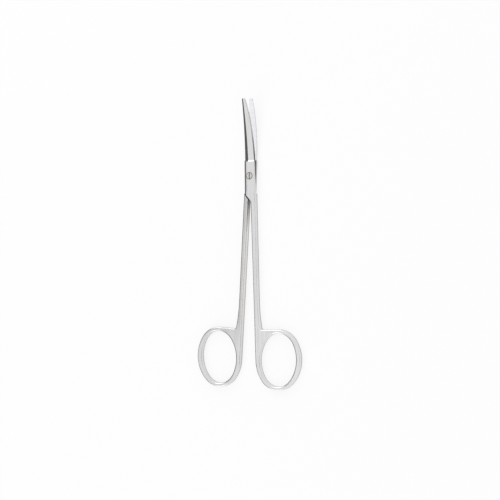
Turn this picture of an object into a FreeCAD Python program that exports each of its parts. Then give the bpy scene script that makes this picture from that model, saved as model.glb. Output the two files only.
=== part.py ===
import FreeCAD, Part
import math
import os
import re
import Sketcher

# Curved dissecting scissors with finger rings, in millimetres.
# The origin is on the pivot axis at the underside, +Y runs to the tips and +Z up.
# Each lever is drawn closed, lying along Y, and then turned half the opening about Z.
# The front lever has the left blade, the upper half of the lap and the right ring.
# The rear lever is the same handle turned over about Y, with its own blade.

SIZES = [
    # Lap and box
    ("half_thickness", 1.63),
    ("lap_gap", 0.04),
    ("box_width", 5.3),
    ("box_end", 7.6),
    ("box_flare", 0.25),
    ("box_bevel_width", 0.85),
    ("box_bevel_depth", 0.35),
    ("step_depth", 0.33),
    ("step_run", 0.55),
    ("shoulder_outer", 8.8),
    ("shoulder_inner", 12.0),
    ("shoulder_gap", 0.08),
    ("closed_gap", 0.1),
    # Blades
    ("blade_reach", 37.9),
    ("bend_start", 9.0),
    ("bend_radius", 92.0),
    ("tip_thickness", 0.75),
    ("tip_spine", 1.25),
    ("edge_taper", 1.6),
    ("tip_edge", 0.4),
    ("tip_blunt", 0.4),
    ("spine_bevel_base", 2.1),
    ("spine_bevel_tip", 0.75),
    ("spine_drop_base", 0.75),
    ("spine_drop_tip", 0.3),
    ("edge_height_base", 0.65),
    ("edge_height_tip", 0.45),
    ("edge_bevel", 0.35),
    ("edge_land", 0.12),
    # Shank and ring
    ("flare_start", 62.0),
    ("flare_radius", 80.0),
    ("notch_round", 0.9),
    ("ring_offset", 12.95),
    ("ring_distance", 90.5),
    ("hole_width", 19.9),
    ("hole_length", 25.9),
    ("hole_end_radius", 8.7),
    ("ring_lean", 6.0),
    ("band_side", 2.2),
    ("band_end", 1.9),
    ("edge_round", 0.6),
    ("hole_round", 0.8),
    # Pivot screw
    ("shaft_diameter", 2.2),
    ("shaft_clearance", 0.03),
    ("head_diameter", 3.5),
    ("head_depth", 0.8),
    ("head_clearance", 0.06),
    ("head_stand", 0.1),
    ("head_round", 0.15),
    ("head_seat_gap", 0.03),
    ("slot_width", 0.45),
    ("slot_depth", 0.45),
    # Opening between the levers as they lie, in degrees
    ("rest_opening", 4.6),
]
# Whole thickness of the closed scissors
FULL = "(2 * half_thickness + lap_gap)"
# Slope of the shoulder that each lever's box ends at
SHOULDER_SLOPE = "(shoulder_inner - shoulder_outer) / (box_width / 2 + closed_gap / 2)"
# Places of the blade's sections, as shares of the way from the box to the tip
SECTION_SHARES = (0.0, 0.25, 0.5, 0.7, 0.85, 0.93, 1.0)
# The cutting edge tapers evenly, and then turns in towards the tip by this power
TIP_TURN = 6
# How far a sampled point may lie from an edge that it belongs to
FINE = 1e-4
# How far the rounding of the tip starts outside the blade
OUTSIDE = 0.02
# How far the outline of a cut runs past what it cuts away
PAST = 2
# How far the box runs past the gap between the shanks, as a multiple of the rounding that it covers
COVER = 1.2
ALIASES = re.compile(r"\b(" + "|".join(name for name, _ in SIZES) + r")\b")

doc = FreeCAD.newDocument("dissecting_scissors")
sheet = doc.addObject("Spreadsheet::Sheet", "sizes")
for row, (name, value) in enumerate(SIZES, start=1):
    sheet.set(f"A{row}", name)
    sheet.set(f"B{row}", str(value))
    sheet.setAlias(f"B{row}", name)
trial = doc.addObject("Spreadsheet::Sheet", "trial")
doc.recompute()


def formula(text):
    """The text with every size written as a cell of the sheet."""
    return ALIASES.sub(r"sizes.\1", text)


def worth(text):
    """The number that a formula gives, worked out in a cell of its own."""
    trial.set("A1", "=" + formula(text))
    trial.recompute()
    return float(trial.get("A1"))


def bind(thing, field, text):
    thing.setExpression(field, formula(text))


def new_body(label):
    body = doc.addObject("PartDesign::Body", label)
    body.Label = label
    return body


def new_sketch(body, name, role, offset="0"):
    """A sketch on one of the body's own planes, moved along the plane's normal."""
    sketch = body.newObject("Sketcher::SketchObject", name)
    plane = next(item for item in body.Origin.OriginFeatures if item.Role == role)
    sketch.AttachmentSupport = [(plane, "")]
    sketch.MapMode = "FlatFace"
    bind(sketch, "AttachmentOffset.Base.z", offset)
    return sketch


def join_ends(sketch, count):
    for item in range(count):
        sketch.addConstraint(Sketcher.Constraint("Coincident", item, 2, (item + 1) % count, 1))


def hold_point(sketch, item, end, corner):
    """Dimensions that hold one end of a line at a corner given as two formulas."""
    for kind, text in zip(("DistanceX", "DistanceY"), corner):
        number = sketch.addConstraint(Sketcher.Constraint(kind, item, end, worth(text)))
        sketch.setExpression(f"Constraints[{number}]", formula(text))


def polygon(sketch, corners):
    """A closed outline of straight lines whose corners are pairs of formulas."""
    points = [FreeCAD.Vector(worth(x), worth(y), 0) for x, y in corners]
    for start, end in zip(points, points[1:] + points[:1]):
        sketch.addGeometry(Part.LineSegment(start, end))
    join_ends(sketch, len(points))
    for item, corner in enumerate(corners):
        hold_point(sketch, item, 1, corner)


def circle(sketch, diameter):
    up = FreeCAD.Vector(0, 0, 1)
    sketch.addGeometry(Part.Circle(FreeCAD.Vector(), up, worth(diameter) / 2))
    sketch.addConstraint(Sketcher.Constraint("Coincident", 0, 3, -1, 1))
    number = sketch.addConstraint(Sketcher.Constraint("Diameter", 0, worth(diameter)))
    sketch.setExpression(f"Constraints[{number}]", formula(diameter))


def edges_where(shape, wanted):
    """Names of the edges that pass a test."""
    names = [f"Edge{number}" for number, edge in enumerate(shape.Edges, start=1) if wanted(edge)]
    if not names:
        raise RuntimeError("no edge found to finish")
    return names


def near(value, target):
    return abs(value - target) < FINE


class Oval:
    """Four arcs that meet smoothly: a tight one at each end and a flat one along each side.

    Angles are counted from the oval's own right side. It leans by turning clockwise.
    """

    def __init__(self, centre, lean, across, along, end_radius):
        self.centre = centre
        self.lean = lean
        self.end_radius = end_radius
        self.end_place = along - end_radius
        narrower = across - end_radius
        self.side_radius = (self.end_place ** 2 + across ** 2 - end_radius ** 2) / (2 * narrower)
        self.side_place = self.side_radius - across
        self.meet = math.atan2(self.end_place, self.side_place)

    def turned(self, x, y):
        return (x * math.cos(self.lean) + y * math.sin(self.lean),
                y * math.cos(self.lean) - x * math.sin(self.lean))

    def arc(self, place, radius, start, end):
        """Start, middle and end points of an arc about a place on one of the oval's axes."""
        points = []
        for angle in (start, (start + end) / 2, end):
            x, y = self.turned(place[0] + radius * math.cos(angle), place[1] + radius * math.sin(angle))
            points.append((self.centre[0] + x, self.centre[1] + y))
        return points

    def arcs(self, first, last):
        """The arcs from an angle on the top one, clockwise, to an angle on the left one."""
        return [
            self.arc((0, self.end_place), self.end_radius, first, self.meet),
            self.arc((-self.side_place, 0), self.side_radius, self.meet, -self.meet),
            self.arc((0, -self.end_place), self.end_radius, -self.meet, self.meet - math.pi),
            self.arc((self.side_place, 0), self.side_radius, self.meet - math.pi, last),
        ]

    def whole(self):
        return self.arcs(math.pi - self.meet, -math.pi - self.meet)

    def top_angle(self):
        return math.pi / 2 + self.lean

    def touch_angle(self, point):
        """Where a line from a point above touches the left side."""
        dx = point[0] - self.centre[0]
        dy = point[1] - self.centre[1]
        x = dx * math.cos(self.lean) - dy * math.sin(self.lean) - self.side_place
        y = dx * math.sin(self.lean) + dy * math.cos(self.lean)
        return math.atan2(y, x) + math.acos(self.side_radius / math.hypot(x, y)) - 2 * math.pi


class Handle:
    """Plan of one handle, with its ring on the right, turned over for the rear lever."""

    def __init__(self, side):
        self.side = side
        self.half_box = worth("box_width / 2")
        self.gap_side = worth("closed_gap / 2")
        self.centre = (worth("ring_offset"), -worth("ring_distance"))
        lean = math.radians(worth("ring_lean"))
        self.hole = Oval(self.centre, lean, worth("hole_width / 2"), worth("hole_length / 2"),
                         worth("hole_end_radius"))
        self.ring = Oval(self.centre, lean, worth("hole_width / 2 + band_side"),
                         worth("hole_length / 2 + band_end"), worth("hole_end_radius + band_end"))

    def flip(self, point):
        return FreeCAD.Vector(self.side * point[0], point[1], 0)

    def arc(self, start, middle, end):
        return Part.Arc(self.flip(start), self.flip(middle), self.flip(end))

    def line(self, start, end):
        return Part.LineSegment(self.flip(start), self.flip(end))

    def hole_outline(self):
        return [self.arc(*points) for points in self.hole.whole()]

    def outline(self):
        """Shank, flare, notch and ring as one closed run of lines and arcs.

        The shank is drawn on past the pivot to the end of the box.
        """
        flare_y = -worth("flare_start")
        flare_r = worth("flare_radius")
        notch_r = worth("notch_round")
        box_end = worth("box_end")
        touch_angle = self.ring.touch_angle((self.gap_side, box_end))
        round_ring = self.ring.arcs(self.ring.top_angle(), touch_angle)
        top = round_ring[0][0]
        touch = round_ring[-1][-1]
        flare_x = self.half_box + flare_r
        notch_y = top[1] + notch_r
        notch_x = flare_x - math.sqrt((flare_r - notch_r) ** 2 - (notch_y - flare_y) ** 2)
        bend = math.atan2(flare_y - notch_y, flare_x - notch_x)

        def on_flare(angle):
            return flare_x - flare_r * math.cos(angle), flare_y - flare_r * math.sin(angle)

        def on_notch(angle):
            return notch_x - notch_r * math.cos(angle), notch_y - notch_r * math.sin(angle)

        end_outer = (self.half_box, box_end)
        end_inner = (self.gap_side, box_end)
        flare_top = (self.half_box, flare_y)
        notch_end = (notch_x, top[1])
        return [
            self.line(end_outer, flare_top),
            self.arc(flare_top, on_flare(bend / 2), on_flare(bend)),
            self.arc(on_flare(bend), on_notch((bend + math.pi / 2) / 2), notch_end),
            self.line(notch_end, top),
            *[self.arc(*points) for points in round_ring],
            self.line(touch, end_inner),
            self.line(end_inner, end_outer),
        ]


def blade_section(share, side):
    """Corners of the blade's section, as formulas, at a share of the way to the tip."""
    y = f"(box_end + {share} * (blade_reach - box_end))"
    bend = f"(bend_radius - sqrt(bend_radius^2 - max(0; {y} - bend_start)^2))"
    inner = f"(half_thickness + {bend})"
    thick = f"(half_thickness - step_depth + {share} * (tip_thickness - half_thickness + step_depth))"
    spine = f"(box_width / 2 - {share}^2 * (box_width / 2 - tip_spine))"
    turn_in = f"{share}^{TIP_TURN} * (box_width / 2 - edge_taper - tip_edge)"
    edge = f"(box_width / 2 - {share} * edge_taper - {turn_in})"
    edge_height = f"(edge_height_base + {share} * (edge_height_tip - edge_height_base))"
    bevel = f"(spine_bevel_base + {share} * (spine_bevel_tip - spine_bevel_base))"
    drop = f"(spine_drop_base + {share} * (spine_drop_tip - spine_drop_base))"
    # Heights are counted from the contact face, outwards to the blade's back.
    corners = [
        (f"-{spine}", "-half_thickness / 2"),
        (edge, "-half_thickness / 2"),
        (edge, "edge_land"),
        (f"{edge} - edge_bevel", edge_height),
        (f"-{spine} + {bevel}", thick),
        (f"-{spine}", f"{thick} - {drop}"),
    ]
    if side > 0:
        place = [(x, f"{inner} + lap_gap + {z}") for x, z in corners]
    else:
        place = [(f"-({x})", f"{inner} - ({z})") for x, z in corners]
    return y, place


def step(body, kind, name, **settings):
    """A further feature of the body, with its plain settings."""
    feature = body.newObject("PartDesign::" + kind, name)
    for field, value in settings.items():
        setattr(feature, field, value)
    return feature


def forge_blank(body, plan):
    """Shank and ring in one thickness, with every edge but the end of the box rounded."""
    sketch = new_sketch(body, body.Name + "_plan", "XY_Plane")
    sketch.addGeometry(plan.outline())
    blank = step(body, "Pad", body.Name + "_blank", Profile=sketch)
    bind(blank, "Length", FULL)
    doc.recompute()
    full = worth(FULL)
    box_end = worth("box_end")

    def face_edge(edge):
        flat = all(near(point.z, 0) or near(point.z, full) for point in edge.discretize(5))
        return flat and not all(near(vertex.Point.y, box_end) for vertex in edge.Vertexes)

    edges = edges_where(blank.Shape, face_edge)
    rounding = step(body, "Fillet", body.Name + "_rounding", Base=(blank, edges))
    bind(rounding, "Radius", "edge_round")
    doc.recompute()


def add_box(body, side):
    """The box, with sharp edges, down to the shoulder that slants across the lever."""
    shoulder = "-(shoulder_outer - shoulder_gap / 2)"
    past_gap = f"(closed_gap / 2 + {COVER} * edge_round)"
    corners = [("-box_width / 2", "box_end"),
               ("-(box_width / 2 + box_flare)", f"{shoulder} + {SHOULDER_SLOPE} * box_flare"),
               (past_gap, f"{shoulder} - {SHOULDER_SLOPE} * ({past_gap} + box_width / 2)"),
               ("box_width / 2", shoulder), ("box_width / 2", "box_end")]
    sketch = new_sketch(body, body.Name + "_box_plan", "XY_Plane")
    polygon(sketch, turned_over(corners, side))
    box = step(body, "Pad", body.Name + "_box", Profile=sketch)
    bind(box, "Length", FULL)
    doc.recompute()


def turned_over(corners, side):
    """Corners of a plan outline, mirrored for the rear lever."""
    return corners if side > 0 else [(f"-({x})", y) for x, y in corners]


def open_finger_hole(body, plan):
    """The oval for the finger, with both rims rounded."""
    sketch = new_sketch(body, body.Name + "_hole_plan", "XY_Plane")
    sketch.addGeometry(plan.hole_outline())
    hole = step(body, "Pocket", body.Name + "_hole", Profile=sketch, Type="ThroughAll", Midplane=True)
    doc.recompute()
    full = worth(FULL)
    centre = plan.flip(plan.centre)
    least = worth("hole_width / 2") - FINE
    most = worth("hole_length / 2") + FINE

    def rim_point(point):
        reach = math.hypot(point.x - centre.x, point.y - centre.y)
        return (near(point.z, 0) or near(point.z, full)) and least < reach < most

    def rim(edge):
        return all(rim_point(point) for point in edge.discretize(5))

    comfort = step(body, "Fillet", body.Name + "_hole_rounding", Base=(hole, edges_where(hole.Shape, rim)))
    bind(comfort, "Radius", "hole_round")
    doc.recompute()
    return comfort


def bevel_box(body, plan, base):
    """The long bevel beside the lap and the ramp down to the blade."""
    outer_face = worth(FULL) if plan.side > 0 else 0.0

    def box_side(edge):
        return all(plan.side * vertex.Point.x < FINE - plan.half_box and near(vertex.Point.z, outer_face)
                   for vertex in edge.Vertexes)

    def box_front(edge):
        return all(near(vertex.Point.y, worth("box_end")) and near(vertex.Point.z, outer_face)
                   for vertex in edge.Vertexes)

    for name, wanted, run, depth in (("_side_bevel", box_side, "box_bevel_width", "box_bevel_depth"),
                                     ("_ramp", box_front, "step_run", "step_depth")):
        cut = step(body, "Chamfer", body.Name + name, Base=(base, edges_where(base.Shape, wanted)),
                   ChamferType="Two distances")
        bind(cut, "Size", run)
        bind(cut, "Size2", depth)
        doc.recompute()
        base = cut


def add_blade(body, side):
    """The blade, lofted through its ground sections from the box to the tip."""
    sections = []
    for number, share in enumerate(SECTION_SHARES):
        y, corners = blade_section(share, side)
        sketch = new_sketch(body, f"{body.Name}_section_{number}", "XZ_Plane", f"-{y}")
        polygon(sketch, corners)
        sections.append(sketch)
    step(body, "AdditiveLoft", body.Name + "_blade", Profile=sections[0], Sections=sections[1:])
    doc.recompute()


def cut_lap(body, side):
    """Half the thickness goes where the other lever crosses, up to its slanted shoulder."""
    low = "-(shoulder_inner + shoulder_gap / 2)"
    high = "-(shoulder_outer + shoulder_gap / 2)"
    past = f"(box_width / 2 + {PAST})"
    corners = [(f"-{past}", "box_end"), (past, "box_end"), (past, f"{high} + {SHOULDER_SLOPE} * {PAST}"),
               ("-closed_gap / 2", low), (f"-{past}", low)]
    face = "half_thickness + lap_gap" if side > 0 else "half_thickness"
    sketch = new_sketch(body, body.Name + "_lap_plan", "XY_Plane", face)
    polygon(sketch, turned_over(corners, side))
    step(body, "Pocket", body.Name + "_lap", Profile=sketch, Type="ThroughAll", Reversed=side < 0)
    doc.recompute()


def grind_contact_face(body, side):
    """The face that slides on the other blade, turned about the pivot axis.

    Turned about that axis, the two faces keep their gap at every opening.
    """
    face = "(half_thickness + lap_gap)" if side > 0 else "half_thickness"
    beyond = f"(blade_reach + {PAST})"
    rise = f"(bend_radius - sqrt(bend_radius^2 - ({beyond} - bend_start)^2))"
    waste = f"-{PAST}" if side > 0 else f"{face} + {rise} + {PAST}"
    start = "box_end / 2"
    near_corner = (start, waste)
    far_corner = (beyond, waste)
    arc_end = (beyond, f"{face} + {rise}")
    arc_start = ("bend_start", face)
    flat_end = (start, face)
    sketch = new_sketch(body, body.Name + "_contact_profile", "YZ_Plane")
    corner = [FreeCAD.Vector(worth(y), worth(z), 0)
              for y, z in (near_corner, far_corner, arc_end, arc_start, flat_end)]
    radius = worth("bend_radius")
    middle = corner[3] + FreeCAD.Vector(0, radius, 0)
    swing = math.asin(worth(f"({beyond} - bend_start) / bend_radius"))
    bow = Part.ArcOfCircle(Part.Circle(middle, FreeCAD.Vector(0, 0, 1), radius),
                           -math.pi / 2, -math.pi / 2 + swing)
    sketch.addGeometry([Part.LineSegment(corner[0], corner[1]), Part.LineSegment(corner[1], corner[2]), bow,
                        Part.LineSegment(corner[3], corner[4]), Part.LineSegment(corner[4], corner[0])])
    for first, first_end, second, second_end in ((0, 2, 1, 1), (1, 2, 2, 2), (2, 1, 3, 1), (3, 2, 4, 1),
                                                 (4, 2, 0, 1)):
        sketch.addConstraint(Sketcher.Constraint("Coincident", first, first_end, second, second_end))
    for item, end, place in ((0, 1, near_corner), (0, 2, far_corner), (1, 2, arc_end), (3, 1, arc_start),
                             (3, 2, flat_end)):
        hold_point(sketch, item, end, place)
    number = sketch.addConstraint(Sketcher.Constraint("Radius", 2, radius))
    bind(sketch, f"Constraints[{number}]", "bend_radius")
    step(body, "Groove", body.Name + "_contact", Profile=sketch, ReferenceAxis=(sketch, ["V_Axis"]),
         Angle=180.0, Midplane=True)
    doc.recompute()


def blunt_tip(body, side):
    """The tip is rounded off across the blade, as on a dissecting blade."""
    reach = worth("blade_reach")
    start_y = reach - worth("tip_blunt")
    share = (start_y - worth("box_end")) / (reach - worth("box_end"))
    _, corners = blade_section(share, 1)
    spine_x = worth(corners[0][0]) - OUTSIDE
    edge_x = worth(corners[1][0]) + OUTSIDE

    def place(x, y):
        return FreeCAD.Vector(side * x, y, 0)

    start = place(spine_x, start_y)
    end = place(edge_x, start_y)
    around = [end, place(edge_x + PAST, start_y), place(edge_x + PAST, reach + PAST),
              place(spine_x - PAST, reach + PAST), place(spine_x - PAST, start_y), start]
    sketch = new_sketch(body, body.Name + "_tip_plan", "XY_Plane")
    sketch.addGeometry([Part.Arc(start, place((spine_x + edge_x) / 2, reach), end)]
                       + [Part.LineSegment(first, last) for first, last in zip(around, around[1:])])
    step(body, "Pocket", body.Name + "_tip", Profile=sketch, Type="ThroughAll", Midplane=True)
    doc.recompute()


def bore(body, name, diameter, top="0", depth=None):
    """A round hole on the pivot axis: through the lever, or sunk from its top."""
    sketch = new_sketch(body, f"{body.Name}_{name}_plan", "XY_Plane", top)
    circle(sketch, diameter)
    hole = step(body, "Pocket", f"{body.Name}_{name}", Profile=sketch)
    if depth is None:
        hole.Type = "ThroughAll"
        hole.Midplane = True
    else:
        bind(hole, "Length", depth)
    doc.recompute()


def make_lever(label, side):
    """One lever, turned to its side of the opening. side is 1 for the front one and -1 for the rear."""
    plan = Handle(side)
    body = new_body(label)
    forge_blank(body, plan)
    add_box(body, side)
    rimmed = open_finger_hole(body, plan)
    bevel_box(body, plan, rimmed)
    add_blade(body, side)
    cut_lap(body, side)
    grind_contact_face(body, side)
    blunt_tip(body, side)
    bind(body, "Placement.Rotation.Angle", f"{side} * rest_opening / 2")
    return body


def make_screw():
    """The slotted screw: its head turns in the front lever, its shaft is fixed in the rear one."""
    body = new_body("pivot_screw")
    top = f"({FULL} + head_stand)"
    seat = f"({FULL} - head_depth)"
    sketch = new_sketch(body, "screw_profile", "XZ_Plane")
    polygon(sketch, [("0", "0"), ("shaft_diameter / 2 - head_round", "0"),
                     ("shaft_diameter / 2", "head_round"), ("shaft_diameter / 2", seat),
                     ("head_diameter / 2", seat), ("head_diameter / 2", f"{top} - head_round"),
                     ("head_diameter / 2 - head_round", top), ("0", top)])
    axis = (sketch, ["V_Axis"])
    step(body, "Revolution", "screw_turned", Profile=sketch, ReferenceAxis=axis, Angle=360.0)
    doc.recompute()
    sketch = new_sketch(body, "slot_plan", "XY_Plane", top)
    half_slot = "slot_width / 2"
    run = f"(head_diameter / 2 + {PAST})"
    polygon(sketch, [(f"-{half_slot}", f"-{run}"), (half_slot, f"-{run}"), (half_slot, run),
                     (f"-{half_slot}", run)])
    slot = step(body, "Pocket", "screw_slot", Profile=sketch)
    bind(slot, "Length", "slot_depth")
    doc.recompute()
    return body


front_lever = make_lever("front_lever", 1)
bore(front_lever, "bore", "shaft_diameter + 2 * shaft_clearance")
bore(front_lever, "counterbore", "head_diameter + 2 * head_clearance", FULL, "head_depth + head_seat_gap")
rear_lever = make_lever("rear_lever", -1)
bore(rear_lever, "thread_hole", "shaft_diameter")
pivot_screw = make_screw()
doc.recompute()

for item in doc.Objects:
    if "Invalid" in item.State or "Error" in item.State:
        raise RuntimeError(f"{item.Name} did not build")
pieces = [front_lever, rear_lever, pivot_screw]
for piece in pieces:
    shape = piece.Shape
    if shape.isNull() or not shape.isValid() or len(shape.Solids) != 1:
        raise RuntimeError(f"{piece.Label} is not one sound solid")
    print(piece.Label, round(shape.Volume, 3), shape.BoundBox)

os.makedirs("parts", exist_ok=True)
for piece in pieces:
    piece.Shape.exportStep(f"parts/{piece.Label}.step")
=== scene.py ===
"""Dissecting scissors in satin stainless steel, lying open on a white table."""

from math import cos, radians, sin

import bpy
from mathutils import Matrix, Vector


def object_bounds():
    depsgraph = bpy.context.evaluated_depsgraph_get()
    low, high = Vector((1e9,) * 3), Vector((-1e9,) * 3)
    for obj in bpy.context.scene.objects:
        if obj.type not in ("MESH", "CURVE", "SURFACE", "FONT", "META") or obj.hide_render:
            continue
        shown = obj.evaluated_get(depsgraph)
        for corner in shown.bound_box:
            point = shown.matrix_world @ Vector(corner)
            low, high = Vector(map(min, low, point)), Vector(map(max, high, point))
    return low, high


MM = 0.001

# The camera looks down on the scissors, turned about their length towards the screw's side.
CAMERA_TURN = radians(28.9)
CAMERA_ROLL = radians(0.65)
CAMERA_REACH = 619 * MM
CAMERA_AIM = (-0.84 * MM, -36.5 * MM)
CAMERA_LENS = 90.2
CAMERA_SENSOR = 36.0
CAMERA_NEAREST = 10 * MM

# Half the opening that the levers lie at.
LEVER_TURN = radians(2.3)
# Places along the lever are measured from the pivot, and are negative towards the rings.
# At this one the ramp at the end of the box has come down to the blade.
BLADE_FOOT = 7.6 * MM
# The dark strip of painted shade beside the lap grows from STRIP_END up to the pivot. Along the blade it
# gives way to the honed edge. On the box it stays within STRIP_HEIGHT of the lap's plane.
STRIP_END = -5 * MM
STRIP_FADE = (12 * MM, 24 * MM)
LAP_MIDDLE = 1.65 * MM
STRIP_HEIGHT = 0.7 * MM
# Beyond RAMP_CORNER from the middle line, the ramp is painted as dark as the spine's bevel above it, as
# painted shade.
RAMP_START = 6.9 * MM
RAMP_END = BLADE_FOOT + 0.1 * MM
RAMP_CORNER = 0.55 * MM
# The flat is painted darker towards the box's bevel, as painted shade, between these distances from the
# middle line.
BORDER = (1.15 * MM, 1.75 * MM)
BORDER_FADE = (-9.5 * MM, -6.5 * MM)
BORDER_SHARE = 0.45
# The sides get painted shade low down, where the lever lies on the table.
FOOT = (0.5 * MM, 1.4 * MM)
FOOT_SHARE = 0.75
# The slanted shoulder lies between these and gets painted shade, and everything below it is shank and
# ring.
SHOULDER_HIGH = -7 * MM
SHOULDER_LOW = -14 * MM
# The painted shade on the wall between the shanks starts beside the shoulder and fades out further down.
CROTCH_START = -10.5 * MM
CROTCH_END = -28 * MM
CROTCH_SHARE = 0.75

# How much of a face's normal has to point the right way, for it to count as one of these.
CONTACT_LEAN = 0.5
WALL_LEAN = 0.6
EDGE_LEAN = -0.5
RAMP_LEAN = 0.2
FLAT_LEAN = 0.95
SHOULDER_LEAN = 0.4
UPRIGHT_LEAN = 0.7
# The painted light on the inner sides begins at the first lean, and is full at the second.
INSIDE_LEAN = (0.1, 0.3)
# The rounding along the outer edge: how far it leans sideways, and how far it looks up.
RIM_LEAN = (-0.9, -0.3)
RIM_UP = 0.3

# The rear lever is painted a little darker than the front one, as painted shade.
FRONT_LIGHT = (0.785, 0.78, 0.785, 1.0)
FRONT_SHADE = (0.695, 0.69, 0.695, 1.0)
REAR_LIGHT = (0.625, 0.62, 0.61, 1.0)
REAR_SHADE = (0.54, 0.535, 0.525, 1.0)
# Painted light: the rings are painted brighter than the shanks, and so are the sides that face the other
# shank.
FRONT_RING = ((0.785, 0.78, 0.79, 1.0), (0.705, 0.70, 0.71, 1.0))
REAR_RING = ((0.75, 0.745, 0.755, 1.0), (0.67, 0.665, 0.675, 1.0))
FRONT_INSIDE = ((0.97, 0.965, 0.97, 1.0), (0.90, 0.895, 0.90, 1.0))
REAR_INSIDE = ((0.80, 0.79, 0.78, 1.0), (0.70, 0.695, 0.685, 1.0))
# How much painted shade there is on the rounded outer edge. The front lever's has none.
FRONT_RIM_SHARE = 0
REAR_RIM_SHARE = 0.85
RING_FADE = (-84 * MM, -68 * MM)
# Painted shade: a dark brownish colour between the shanks, beside the lap and at the other places where
# shade falls.
SHADE_PAINT_LIGHT = (0.18, 0.165, 0.145, 1.0)
SHADE_PAINT_DARK = (0.10, 0.09, 0.08, 1.0)
# The bevel of the cutting edge.
HONED_LIGHT = (0.70, 0.69, 0.675, 1.0)
HONED_SHADE = (0.65, 0.635, 0.615, 1.0)
# The blades' contact faces.
GROUND_LIGHT = (0.945, 0.95, 0.985, 1.0)
GROUND_SHADE = (0.885, 0.89, 0.92, 1.0)
# The screw's steel is a little warmer.
SCREW_LIGHT = (0.72, 0.68, 0.64, 1.0)
SCREW_SHADE = (0.64, 0.60, 0.56, 1.0)

# Outside this radius, and below this height, the screw is painted dark: painted shade in the gap round
# the head and in the slot.
SCREW_RIM = 1.5 * MM
SLOT_TOP = 3.25 * MM

# The steel's cloudy tone and its streaks are noise: its scale, its detail, how much of the shade it
# brings, and the part of the noise that runs from light to shade or from smooth to rough.
CLOUD_STRETCH = (1, 0.35, 1)
CLOUD_SCALE = 170
CLOUD_DETAIL = 2.0
CLOUD_SHARE = 0.55
CLOUD_RANGE = (0.35, 0.65)
STREAK_SCALE = 900
STREAK_DETAIL = 4.0
STREAK_SHARE = 0.45
STREAK_RANGE = (0.38, 0.62)
GLOSS_RANGE = (0.3, 0.7)
GRAIN_STRENGTH = 0.25
GRAIN_DEPTH = 0.01 * MM
SHADE_PAINT_STRETCH = (1, 0.5, 1)
SHADE_PAINT_SCALE = 700
SHADE_PAINT_DETAIL = 3.0
SHADE_PAINT_RANGE = (0.35, 0.65)
SHADE_PAINT_ROUGHNESS = 0.55

# How rough each finish is, from its smooth streaks to its rough ones.
SATIN_GLOSS = (0.2, 0.3)
GROUND_GLOSS = (0.25, 0.34)
HONED_GLOSS = (0.45, 0.6)
TURNED_GLOSS = (0.22, 0.34)
# How the grain is drawn out: along the lever, across it, or round the screw.
ALONG = (1, 0.04, 1)
ACROSS = (0.05, 1, 1)
ROUND = (1, 1, 0.3)

# The white tent round the table, dimmer on its left side than on its right.
TENT_LEFT = 0.98
TENT_RIGHT = 1.0
# Where the one gives way to the other, as the sideways part of the direction.
TENT_TURN = (-0.7, 0.6)
# It is open low down on both sides, and the openings are dark. Each of them has the direction where it
# starts and the one where it is fully dark.
LEFT_OPENING = (-0.60, -0.74)
LEFT_DARK = 0.10
RIGHT_OPENING = (0.88, 0.97)
RIGHT_DARK = 0.35

WHITE = (1, 1, 1, 1)
FLOOR_SIZE = 3.0
FLOOR_GAP = 0.01 * MM
FLOOR_WHITE = (0.93, 0.93, 0.93, 1.0)
FLOOR_PLAIN = 0.8


def node(tree, kind, **settings):
    """Adds a node, with plain values for its properties."""
    made = tree.nodes.new(kind)
    for name, value in settings.items():
        setattr(made, name, value)
    return made


def new_material(name):
    """An empty material and its node tree."""
    material = bpy.data.materials.new(name)
    material.use_nodes = True
    material.node_tree.nodes.clear()
    return material, material.node_tree


def math_node(tree, operation, *values):
    """A Math node with each input a socket or a number. Gives its output socket."""
    made = node(tree, "ShaderNodeMath", operation=operation)
    for place, value in enumerate(values):
        if isinstance(value, (int, float)):
            made.inputs[place].default_value = value
        else:
            tree.links.new(value, made.inputs[place])
    return made.outputs[0]


def above(tree, value, limit):
    """1 where the value is above the limit, and 0 elsewhere."""
    return math_node(tree, "GREATER_THAN", value, limit)


def below(tree, value, limit):
    """1 where the value is below the limit, and 0 elsewhere."""
    return math_node(tree, "LESS_THAN", value, limit)


def product(tree, first, *others):
    """Everything multiplied: a mask that holds only where all of them do."""
    for other in others:
        first = math_node(tree, "MULTIPLY", first, other)
    return first


def largest(tree, first, *others):
    """The largest of all: a mask that holds where any of them does."""
    for other in others:
        first = math_node(tree, "MAXIMUM", first, other)
    return first


def between(tree, value, low, high):
    """1 where the value lies between two numbers, and 0 elsewhere."""
    return product(tree, above(tree, value, low), below(tree, value, high))


def ramp(tree, factor, low, high, start, end):
    """A Map Range node: the factor from start to end becomes low to high, and stays there beyond."""
    made = node(tree, "ShaderNodeMapRange")
    tree.links.new(factor, made.inputs["Value"])
    made.inputs["From Min"].default_value = start
    made.inputs["From Max"].default_value = end
    made.inputs["To Min"].default_value = low
    made.inputs["To Max"].default_value = high
    return made.outputs["Result"]


def split(tree, vector):
    """The three parts of a vector, as sockets by name."""
    made = node(tree, "ShaderNodeSeparateXYZ")
    tree.links.new(vector, made.inputs["Vector"])
    return made.outputs


def grain(tree, coordinates, stretch, scale, detail):
    """Noise drawn out by the stretch, as the polishing belt leaves it. Gives its output socket."""
    mapping = node(tree, "ShaderNodeMapping")
    mapping.inputs["Scale"].default_value = stretch
    tree.links.new(coordinates, mapping.inputs["Vector"])
    noise = node(tree, "ShaderNodeTexNoise")
    noise.inputs["Scale"].default_value = scale
    noise.inputs["Detail"].default_value = detail
    tree.links.new(mapping.outputs["Vector"], noise.inputs["Vector"])
    return noise.outputs["Fac"]


def tinted(tree, factor, first, second):
    """Mixes two colours by the factor. Gives the colour socket."""
    mix = node(tree, "ShaderNodeMix", data_type="RGBA")
    # The node has sockets of every type. These are the number, the two colours and their mix.
    tree.links.new(factor, mix.inputs[0])
    mix.inputs[6].default_value = first
    mix.inputs[7].default_value = second
    return mix.outputs[2]


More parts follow.
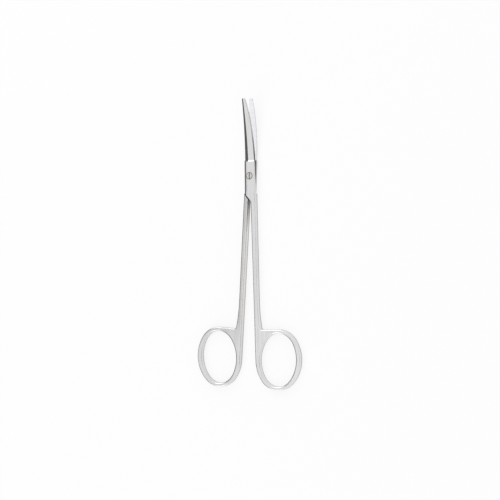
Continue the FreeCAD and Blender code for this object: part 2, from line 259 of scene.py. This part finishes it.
def mixed(tree, factor, first, second):
    """Mixes two shaders by the factor. Gives the shader socket."""
    mix = node(tree, "ShaderNodeMixShader")
    tree.links.new(factor, mix.inputs["Fac"])
    tree.links.new(first, mix.inputs[1])
    tree.links.new(second, mix.inputs[2])
    return mix.outputs["Shader"]


def show(tree, shader):
    """Makes the shader the surface of the material."""
    output = node(tree, "ShaderNodeOutputMaterial")
    tree.links.new(shader, output.inputs["Surface"])


def steel_shader(tree, place, light, shade, gloss, stretch):
    """Polished steel: cloudy tone, streaked gloss and a fine grain along the belt's run."""
    cloud = grain(tree, place, CLOUD_STRETCH, CLOUD_SCALE, CLOUD_DETAIL)
    streaks = grain(tree, place, stretch, STREAK_SCALE, STREAK_DETAIL)
    shader = node(tree, "ShaderNodeBsdfPrincipled")
    shader.inputs["Metallic"].default_value = 1.0
    clouded = ramp(tree, cloud, 0, CLOUD_SHARE, *CLOUD_RANGE)
    streaked = ramp(tree, streaks, 0, STREAK_SHARE, *STREAK_RANGE)
    tone = tinted(tree, math_node(tree, "ADD", clouded, streaked), light, shade)
    tree.links.new(tone, shader.inputs["Base Color"])
    tree.links.new(ramp(tree, streaks, *gloss, *GLOSS_RANGE), shader.inputs["Roughness"])
    bump = node(tree, "ShaderNodeBump")
    bump.inputs["Strength"].default_value = GRAIN_STRENGTH
    bump.inputs["Distance"].default_value = GRAIN_DEPTH
    tree.links.new(streaks, bump.inputs["Height"])
    tree.links.new(bump.outputs["Normal"], shader.inputs["Normal"])
    return shader.outputs["BSDF"]


def painted_shade_shader(tree, place):
    """Painted shade: a dark brownish, rough colour in patches, for the places where shade falls."""
    shader = node(tree, "ShaderNodeBsdfPrincipled")
    noise = grain(tree, place, SHADE_PAINT_STRETCH, SHADE_PAINT_SCALE, SHADE_PAINT_DETAIL)
    patches = ramp(tree, noise, 0, 1, *SHADE_PAINT_RANGE)
    tree.links.new(tinted(tree, patches, SHADE_PAINT_LIGHT, SHADE_PAINT_DARK), shader.inputs["Base Color"])
    shader.inputs["Roughness"].default_value = SHADE_PAINT_ROUGHNESS
    return shader.outputs["BSDF"]


def painted_shade_mask(tree, spot, facing, contact_side, rim_share):
    """The mask of painted shade, where shade falls and dark reflections show, with a share where it is
    only partly dark.

    spot is the place on the lever and facing its normal, both as split() gives them.
    """
    along = spot["Y"]
    sideways = product(tree, facing["X"], contact_side)
    outward = product(tree, facing["Z"], -contact_side)
    # The distance from the lever's middle line, towards its spine.
    to_spine = math_node(tree, "SUBTRACT", product(tree, spot["X"], contact_side),
                         product(tree, along, sin(LEVER_TURN)))
    slanted = above(tree, math_node(tree, "ABSOLUTE", facing["Y"]), SHOULDER_LEAN)
    shoulder = product(tree, slanted, between(tree, along, SHOULDER_LOW, SHOULDER_HIGH))
    border = product(tree, ramp(tree, to_spine, 0, BORDER_SHARE, *BORDER),
                     ramp(tree, along, 0, 1, *BORDER_FADE), below(tree, along, RAMP_START),
                     above(tree, outward, FLAT_LEAN))
    upright = below(tree, math_node(tree, "ABSOLUTE", facing["Z"]), UPRIGHT_LEAN)
    foot = product(tree, ramp(tree, spot["Z"], FOOT_SHARE, 0, *FOOT), upright)
    rim = product(tree, between(tree, sideways, *RIM_LEAN), above(tree, facing["Z"], RIM_UP),
                  below(tree, along, SHOULDER_LOW), ramp(tree, along, 0, 1, *RING_FADE), rim_share)
    corner = product(tree, above(tree, to_spine, RAMP_CORNER), between(tree, along, RAMP_START, RAMP_END),
                     above(tree, outward, RAMP_LEAN), above(tree, facing["Y"], RAMP_LEAN))
    crotch = product(tree, above(tree, sideways, WALL_LEAN), below(tree, along, CROTCH_START),
                     ramp(tree, along, 0, CROTCH_SHARE, CROTCH_END, SHOULDER_LOW))
    from_lap = math_node(tree, "ABSOLUTE", math_node(tree, "SUBTRACT", spot["Z"], LAP_MIDDLE))
    strip = product(tree, below(tree, sideways, EDGE_LEAN), ramp(tree, along, 0, 1, STRIP_END, 0),
                    ramp(tree, along, 1, 0, *STRIP_FADE),
                    largest(tree, above(tree, along, BLADE_FOOT), below(tree, from_lap, STRIP_HEIGHT)))
    return largest(tree, shoulder, border, foot, rim, corner, crotch, strip)


def lever_material(name, contact_side, light, shade, ring, inside, rim_share):
    """Satin steel, with ground contact faces and honed edges, painted light on the rings and inner sides,
    and painted shade where shade falls.

    contact_side is 1 where the contact face looks up and -1 where it looks down. The same sign
    gives the side of the lever, along X, that faces the other shank.
    """
    material, tree = new_material(name)
    coordinates = node(tree, "ShaderNodeTexCoord")
    place = coordinates.outputs["Object"]
    satin = steel_shader(tree, place, light, shade, SATIN_GLOSS, ALONG)
    lit = steel_shader(tree, place, *inside, SATIN_GLOSS, ALONG)
    bright = steel_shader(tree, place, *ring, SATIN_GLOSS, ALONG)
    ground = steel_shader(tree, place, GROUND_LIGHT, GROUND_SHADE, GROUND_GLOSS, ACROSS)
    honed = steel_shader(tree, place, HONED_LIGHT, HONED_SHADE, HONED_GLOSS, ACROSS)
    spot = split(tree, place)
    facing = split(tree, coordinates.outputs["Normal"])
    along = spot["Y"]
    sideways = product(tree, facing["X"], contact_side)
    on_blade = above(tree, along, BLADE_FOOT)
    to_other = product(tree, facing["Z"], contact_side)
    to_shank = product(tree, ramp(tree, sideways, 0, 1, *INSIDE_LEAN), below(tree, along, SHOULDER_LOW))
    on_contact = product(tree, on_blade, above(tree, to_other, CONTACT_LEAN))
    on_edge = product(tree, on_blade, below(tree, sideways, EDGE_LEAN),
                      ramp(tree, along, 0, 1, *STRIP_FADE))
    # Painted light on the sides that face the other shank, and on the rings.
    finish = mixed(tree, to_shank, satin, lit)
    finish = mixed(tree, ramp(tree, along, 1, 0, *RING_FADE), finish, bright)
    finish = mixed(tree, on_contact, finish, ground)
    finish = mixed(tree, on_edge, finish, honed)
    # Painted shade over the finishes, where shade falls and dark reflections show.
    painted_shade = painted_shade_mask(tree, spot, facing, contact_side, rim_share)
    show(tree, mixed(tree, painted_shade, finish, painted_shade_shader(tree, place)))
    return material


def screw_material():
    """Turned steel, a little warmer than the levers, with painted shade in the slot and in a dark line
    round the head.
    """
    material, tree = new_material("screw_steel")
    place = node(tree, "ShaderNodeTexCoord").outputs["Object"]
    turned = steel_shader(tree, place, SCREW_LIGHT, SCREW_SHADE, TURNED_GLOSS, ROUND)
    spot = split(tree, place)
    flat = node(tree, "ShaderNodeCombineXYZ")
    tree.links.new(spot["X"], flat.inputs["X"])
    tree.links.new(spot["Y"], flat.inputs["Y"])
    reach = node(tree, "ShaderNodeVectorMath", operation="LENGTH")
    tree.links.new(flat.outputs["Vector"], reach.inputs[0])
    # Painted shade round the head and in the slot.
    rim = above(tree, reach.outputs["Value"], SCREW_RIM)
    painted_shade = largest(tree, rim, below(tree, spot["Z"], SLOT_TOP))
    show(tree, mixed(tree, painted_shade, turned, painted_shade_shader(tree, place)))
    return material


def plain_share(tree):
    """How much of the table's own light is plain white, for rays from the camera and mirrored ones."""
    path = node(tree, "ShaderNodeLightPath")
    seen = largest(tree, path.outputs["Is Camera Ray"], path.outputs["Is Glossy Ray"],
                   path.outputs["Is Transmission Ray"])
    return product(tree, seen, FLOOR_PLAIN)


def build_floor():
    """White table: mostly plain white to the eye, with the scissors' soft shadow kept on it."""
    mesh = bpy.data.meshes.new("Table")
    half = FLOOR_SIZE / 2
    corners = [(-half, -half, 0), (half, -half, 0), (half, half, 0), (-half, half, 0)]
    mesh.from_pydata(corners, [], [(0, 1, 2, 3)])
    table = bpy.data.objects.new("Table", mesh)
    bpy.context.scene.collection.objects.link(table)
    table.location.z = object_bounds()[0][2] - FLOOR_GAP
    material, tree = new_material("table_white")
    matt = node(tree, "ShaderNodeBsdfDiffuse")
    matt.inputs["Color"].default_value = FLOOR_WHITE
    glow = node(tree, "ShaderNodeEmission")
    glow.inputs["Color"].default_value = WHITE
    show(tree, mixed(tree, plain_share(tree), matt.outputs["BSDF"], glow.outputs["Emission"]))
    mesh.materials.append(material)


def build_world():
    """A pale tent round the table, a little dimmer on the left, with its two dark openings."""
    world = bpy.data.worlds.new("Tent")
    bpy.context.scene.world = world
    world.use_nodes = True
    tree = world.node_tree
    tree.nodes.clear()
    direction = node(tree, "ShaderNodeTexCoord").outputs["Generated"]
    sideways = split(tree, direction)["X"]
    cloth = ramp(tree, sideways, TENT_LEFT, TENT_RIGHT, *TENT_TURN)
    left = ramp(tree, sideways, 1.0, LEFT_DARK, *LEFT_OPENING)
    right = ramp(tree, sideways, 1.0, RIGHT_DARK, *RIGHT_OPENING)
    background = node(tree, "ShaderNodeBackground")
    background.inputs["Color"].default_value = WHITE
    tree.links.new(product(tree, cloth, left, right), background.inputs["Strength"])
    output = node(tree, "ShaderNodeOutputWorld")
    tree.links.new(background.outputs["Background"], output.inputs["Surface"])


def add_lamp(name, place, size, watts):
    """A square soft lamp that faces the scissors."""
    data = bpy.data.lights.new(name, "AREA")
    data.size = size
    data.energy = watts
    lamp = bpy.data.objects.new(name, data)
    bpy.context.scene.collection.objects.link(lamp)
    lamp.location = place
    aim = Vector((0, CAMERA_AIM[1], 0)) - lamp.location
    lamp.rotation_euler = aim.to_track_quat("-Z", "Y").to_euler()


def build_camera():
    """The camera, turned about the scissors' length and rolled a little."""
    across = Vector((cos(CAMERA_TURN), 0, -sin(CAMERA_TURN)))
    back = Vector((sin(CAMERA_TURN), 0, cos(CAMERA_TURN)))
    along = Vector((0, 1, 0))
    right = across * cos(CAMERA_ROLL) + along * sin(CAMERA_ROLL)
    up = along * cos(CAMERA_ROLL) - across * sin(CAMERA_ROLL)
    data = bpy.data.cameras.new("Camera")
    data.sensor_width = CAMERA_SENSOR
    data.lens = CAMERA_LENS
    data.clip_start = CAMERA_NEAREST
    camera = bpy.data.objects.new("Camera", data)
    bpy.context.scene.collection.objects.link(camera)
    turn = Matrix((right, up, back)).transposed().to_4x4()
    place = across * CAMERA_AIM[0] + along * CAMERA_AIM[1] + back * CAMERA_REACH
    camera.matrix_world = Matrix.Translation(place) @ turn
    bpy.context.scene.camera = camera


def dress(cad_object, material):
    """Puts the material on every slot of a piece that comes from the construction."""
    if not cad_object.data.materials:
        cad_object.data.materials.append(material)
    for slot in cad_object.material_slots:
        slot.material = material


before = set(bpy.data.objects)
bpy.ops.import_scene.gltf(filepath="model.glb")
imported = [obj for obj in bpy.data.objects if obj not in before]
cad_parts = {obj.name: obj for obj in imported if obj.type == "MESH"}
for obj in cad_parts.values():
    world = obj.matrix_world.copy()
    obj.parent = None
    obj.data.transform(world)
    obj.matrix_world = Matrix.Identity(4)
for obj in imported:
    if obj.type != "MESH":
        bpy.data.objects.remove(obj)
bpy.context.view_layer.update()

front_steel = lever_material("front_lever_steel", -1, FRONT_LIGHT, FRONT_SHADE, FRONT_RING, FRONT_INSIDE,
                             FRONT_RIM_SHARE)
rear_steel = lever_material("rear_lever_steel", 1, REAR_LIGHT, REAR_SHADE, REAR_RING, REAR_INSIDE,
                            REAR_RIM_SHARE)
dress(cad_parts["front_lever"], front_steel)
dress(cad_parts["rear_lever"], rear_steel)
dress(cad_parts["pivot_screw"], screw_material())

build_floor()
build_world()
add_lamp("Key", place=(-0.57, 0.67, 0.44), size=0.7, watts=2.0)
add_lamp("Fill", place=(-0.45, -0.95, 0.5), size=0.6, watts=1.4)
build_camera()
bpy.context.scene.view_settings.view_transform = "Standard"
